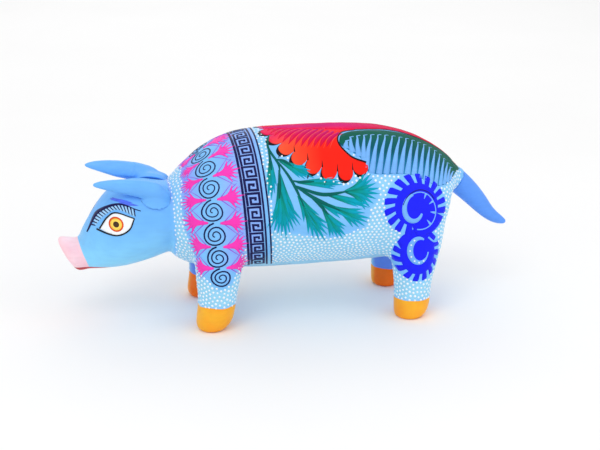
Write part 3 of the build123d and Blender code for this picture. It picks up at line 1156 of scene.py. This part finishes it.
def make_block():
    """The block, with its leg and neck junctions rounded as a knife and sandpaper leave them."""
    piece = remeshed("carved_block", "painted_block", BLOCK_VOXEL)
    mesh = piece.data
    p = points_of(mesh)
    near_seat = np.zeros(len(p))
    for name in ("ear_left", "ear_right", "tail"):
        seat, _ = peg_line(name + "_turn")
        away = np.linalg.norm(p - np.array(seat), axis=1)
        near_seat = np.maximum(near_seat, 1 - ramp(away, 8.5, 12.0))
    free = 1 - near_seat
    front = (1 - ramp(np.abs(p[:, 0] - FRONT_LEGS), 20, 30)) * ramp(p[:, 0], -62, -55)
    rear = 1 - ramp(np.abs(p[:, 0] - REAR_LEGS), 26, 36)
    legs = np.maximum(front, rear) * ramp(p[:, 2], 15, 22) * (1 - ramp(p[:, 2], 74, 84))
    relax(mesh, 70, 0.7 * legs * free, hollow_only=True)
    relax(mesh, 6, 0.5 * free * ramp(np.abs(crease_side(p)), 1.0, 4.0))
    p = points_of(mesh)
    n = normals_of(mesh)
    sole = 1 - ramp(p[:, 2], 0.5, 3.0)
    waves = np.array([noise.noise(Vector(q) / 9.0) + 0.5 * noise.noise(Vector(q) / 4.0) for q in p])
    p = p + n * (0.16 * waves * free * (1 - sole))[:, None]
    p[:, 2] = np.maximum(p[:, 2], 0)
    set_points(mesh, p)
    return piece


def blurred(mesh, values, rounds):
    """Values at a mesh's vertices, mixed with their neighbours'."""
    ends = edges_of(mesh)
    degree = np.bincount(ends.ravel(), minlength=len(values))
    for _ in range(rounds):
        total = np.bincount(ends[:, 0], values[ends[:, 1]], len(values))
        total += np.bincount(ends[:, 1], values[ends[:, 0]], len(values))
        values = 0.5 * values + 0.5 * total / degree
    return values


def paint_block(piece, dotted):
    """Stores where each ground colour lies on the block, and where painted shade darkens the inner faces.
    """
    mesh = piece.data
    p = points_of(mesh)
    n = normals_of(mesh)
    x, y, z = p.T
    wobble = np.array([noise.noise(Vector(q) / 6.0) for q in p])
    head = 1 - ramp(crease_side(p) + 0.6 * wobble, -0.6, 0.6)
    # Faces turned toward the other side. The painted shade on the legs' and hooves' inner faces follows
    # them.
    inner = ramp(-n[:, 1] * np.sign(y), 0.1, 0.5)
    under = ramp(-n[:, 2], 0.55, 0.85) * ramp(z, 16, 22)
    dots = blurred(mesh, dotted.astype(float), 3)
    nape = 0.9 * (1 - ramp(x, -62, -48)) * ramp(z, 60, 84)
    band = 0.35 * ramp(x, -44, -36) * (1 - ramp(x, -22, -18)) * ramp(z + 8 * wobble, 28, 44)
    layers = {
        "dotted": np.maximum(dots * (1 - 0.3 * ramp(z + 5 * wobble, 34, 74)), under),
        "head": head,
        "light": head * (1 - ramp(z + 4 * wobble, 28, 66)),
        "lilac": (1 - head) * (1 - dots) * np.maximum(nape, band),
        # Painted shade on the legs' inner faces, below the belly.
        "inner_face_shade": (1 - head) * inner * (1 - ramp(z, 24, 32)) * (1 - under),
        # Read by the hooves' painted shade on their inner faces.
        "inner": inner,
        "snout_mm": -(x + 0.37 * (z - 46) + 114.6) + 0.3 * wobble,
        "mouth_mm": np.minimum(32.9 - 0.1 * (x + 114) - z, -(x + 98)) + 0.2 * wobble,
        "hoof_mm": hoof_top(x) + 0.7 * wobble - z,
    }
    for name, values in layers.items():
        store(mesh, name, values.astype(np.float32))
    mesh.materials.append(block_paint())


# --- Assembly ---


class Palette(dict):
    """Each colour's brushwork by name, all on one surface."""

    def __init__(self, surface):
        super().__init__()
        self.surface = surface

    def __missing__(self, name):
        self[name] = Paint(self.surface)
        return self[name]


block = make_block()
surface = Surface(block.data)
dotted = dotted_ground(surface.points, surface.normals)
paint_block(block, dotted)
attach(block, BODY)
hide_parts("carved_block")

paints = Palette(surface)
for side in (LEFT, RIGHT):
    spiral(paints, side)
    fans(paints, side)
    key_band(paints, side)
    wing(paints, side)
    frond(paints, side)
    fern(paints, side)
    scroll(paints, side)
    eye(paints, side)
back_stripe(paints)
for place, normal in place_dots(surface, dotted):
    paints["white"].dot(place, normal, DOT_RADIUS * random.uniform(0.88, 1.12))

DECORATION = {
    "ink": ("black_outlines", plain_paint("ink_paint", INK)),
    "navy": ("navy_spirals_and_keys", plain_paint("navy_paint", NAVY, 0.2)),
    "pink": ("pink_bursts", plain_paint("pink_paint", HOT_PINK)),
    "violet": ("violet_rays", plain_paint("violet_paint", VIOLET)),
    "red": ("red_wings", wing_paint()),
    "magenta": ("magenta_streaks", gradient_paint("magenta_paint", *MAGENTA_STROKE)),
    "salmon": ("salmon_streaks", gradient_paint("salmon_paint", *SALMON_STROKE)),
    "ridge": ("back_stripe", ridge_paint()),
    "frond": (
        "green_fronds", gradient_paint("frond_paint", FROND_GREEN, FROND_TIP, 0.16, FROND_MIDDLE_TINT),
    ),
    "sky": ("sky_blue_strokes", plain_paint("sky_stroke_paint", SKY_STROKE)),
    "fern": ("teal_ferns", gradient_paint("fern_paint", FERN_DARK, FERN_TIP, 0.18, FERN_MIDDLE)),
    "ultramarine": ("blue_scrolls", plain_paint("ultramarine_paint", ULTRAMARINE)),
    "deep_blue": ("deep_blue_arcs", plain_paint("deep_blue_paint", DEEP_BLUE)),
    "white": ("white_dots_and_eyes", plain_paint("white_paint", DOT_WHITE, 0.04)),
    "lid": ("pale_lids", plain_paint("lid_paint", LID_BLUE)),
    # Painted shadow of the ear on each brow.
    "ear_shadow": ("painted_ear_shadow_on_brows", plain_paint("ear_shadow_paint", EAR_SHADOW_BLUE, 0.2)),
    "iris_red": ("orange_irises", plain_paint("iris_orange_paint", IRIS_RED)),
    "iris_yellow": ("yellow_irises", plain_paint("iris_yellow_paint", IRIS_YELLOW)),
    "pupil": ("pupils", plain_paint("pupil_paint", PUPIL)),
}
for name, (piece_name, material) in DECORATION.items():
    paints[name].make(piece_name, material)


# --- Ears, tail and pegs ---

FLARE_REACH, FLARE_HEIGHT = 3.0, 3.4
EAR_BACK_DROP = 1.6


def flare_root(points, height, radial_way, radial, head):
    """Spreads an ear's root outward until it lies down on the head, like carved wood."""
    ring = ramp(radial, 3.4, 5.0) * (1 - ramp(radial, 7.5, 11.5))
    spread = np.clip(1 - height / FLARE_HEIGHT, 0, 1) ** 2 * ring
    points = points + radial_way * (FLARE_REACH * spread)[:, None]
    for k in np.flatnonzero(spread > 0.001):
        place, normal, _, _ = head.tree.find_nearest(Vector(points[k]))
        sunk = 0.06 - (Vector(points[k]) - place).dot(normal)
        if sunk > 0:
            points[k] += np.array(normal) * sunk
    return points


def make_limb(node, colour, head=None):
    """An ear or the tail: its junctions rounded, and painted in one brushed colour."""
    piece = remeshed(node, "painted_" + node, LIMB_VOXEL)
    mesh = piece.data
    p = points_of(mesh)
    seat, axis = (np.array(v) for v in peg_line(node + "_turn"))
    offset = p - seat
    height = offset @ axis
    radial_way = offset - np.outer(height, axis)
    radial = np.linalg.norm(radial_way, axis=1)
    free = ramp(np.abs(height), 0.6, 1.8) * ramp(radial, 2.4, 3.4)
    if head is not None:
        back = ramp(p[:, 0] - seat[0], 0.0, 8.0) * ramp(height, 2.0, 5.0)
        p = p - axis * (EAR_BACK_DROP * back)[:, None]
        p = flare_root(p, height, radial_way / np.maximum(radial, 0.1)[:, None], radial, head)
        set_points(mesh, p)
    relax(mesh, 70, 0.7 * free, hollow_only=True)
    relax(mesh, 5, 0.5 * free)
    paint = plain_paint(node + "_paint", colour, strength=0.09, strokes=(90, 420, 420))
    mesh.materials.append(paint)
    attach(piece, node)
    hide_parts(node)
    return piece


for node in ("ear_left", "ear_right"):
    make_limb(node, HEAD_BLUE, surface)
make_limb("tail", TAIL_BLUE)

wood = bare_wood()
for peg in ("ear_left_peg", "ear_right_peg", "tail_peg"):
    mesh = frame["nodes"][peg].data
    mesh.materials.clear()
    mesh.materials.append(wood)


# --- Stage ---

CAMERA_AZIMUTH, CAMERA_ELEVATION = math.radians(-10.7), math.radians(17.5)
CAMERA_DISTANCE = 0.800
CAMERA_AIM = Vector((-0.00092, 0, 0.055))
CAMERA_OFFSET = (0.00766, -0.00767)
LENS, SENSOR_WIDTH = 87.3, 36.0
FLOOR_HALF, FLOOR_DROP = 3000, 0.02
STUDIO_STRENGTH = 0.82
# Each lamp: its name, place and size in metres, and power in watts.
LAMPS = (
    ("key", (-0.5, -0.9, 1.2), 0.9, 4.5),
    ("fill", (0.9, -0.7, 0.8), 1.2, 2.0),
    ("back", (0.1, 1.1, 1.0), 1.2, 2.5),
)


def make_floor():
    nodes = Nodes("floor_paint")
    tone = nodes.mix(nodes.noise(4), (0.97, 0.97, 0.97), (0.99, 0.99, 0.99))
    material = nodes.finish(tone, 0.9)
    square = ((-1, -1), (1, -1), (1, 1), (-1, 1))
    corners = [(x * FLOOR_HALF, y * FLOOR_HALF, -FLOOR_DROP) for x, y in square]
    floor = new_object("floor", corners, [(0, 1, 2, 3)], material, smooth=False)


def make_lights():
    world = bpy.data.worlds.new("studio")
    world.use_nodes = True
    background = world.node_tree.nodes["Background"]
    background.inputs["Color"].default_value = (1.0, 1.0, 1.0, 1.0)
    background.inputs["Strength"].default_value = STUDIO_STRENGTH
    bpy.context.scene.world = world
    for name, place, size, power in LAMPS:
        lamp = bpy.data.lights.new(name, "AREA")
        lamp.shape = "DISK"
        lamp.size = size
        lamp.energy = power
        light = added(name, lamp)
        light.location = place
        aim = Vector((0, 0, 0.05)) - Vector(place)
        light.rotation_euler = aim.to_track_quat("-Z", "Y").to_euler()
    bpy.context.scene.view_settings.view_transform = "Standard"


def make_camera():
    a, e = CAMERA_AZIMUTH, CAMERA_ELEVATION
    back = Vector((math.sin(a) * math.cos(e), -math.cos(a) * math.cos(e), math.sin(e)))
    right = Vector((math.cos(a), math.sin(a), 0))
    up = back.cross(right)
    data = bpy.data.cameras.new("camera")
    data.lens = LENS
    data.sensor_width = SENSOR_WIDTH
    data.clip_end = 20.0
    camera = added("camera", data)
    place = CAMERA_AIM + back * CAMERA_DISTANCE + right * CAMERA_OFFSET[0] + up * CAMERA_OFFSET[1]
    turn = Matrix((right, up, back)).transposed().to_4x4()
    camera.matrix_world = Matrix.Translation(place) @ turn
    bpy.context.scene.camera = camera


make_floor()
make_lights()
make_camera()
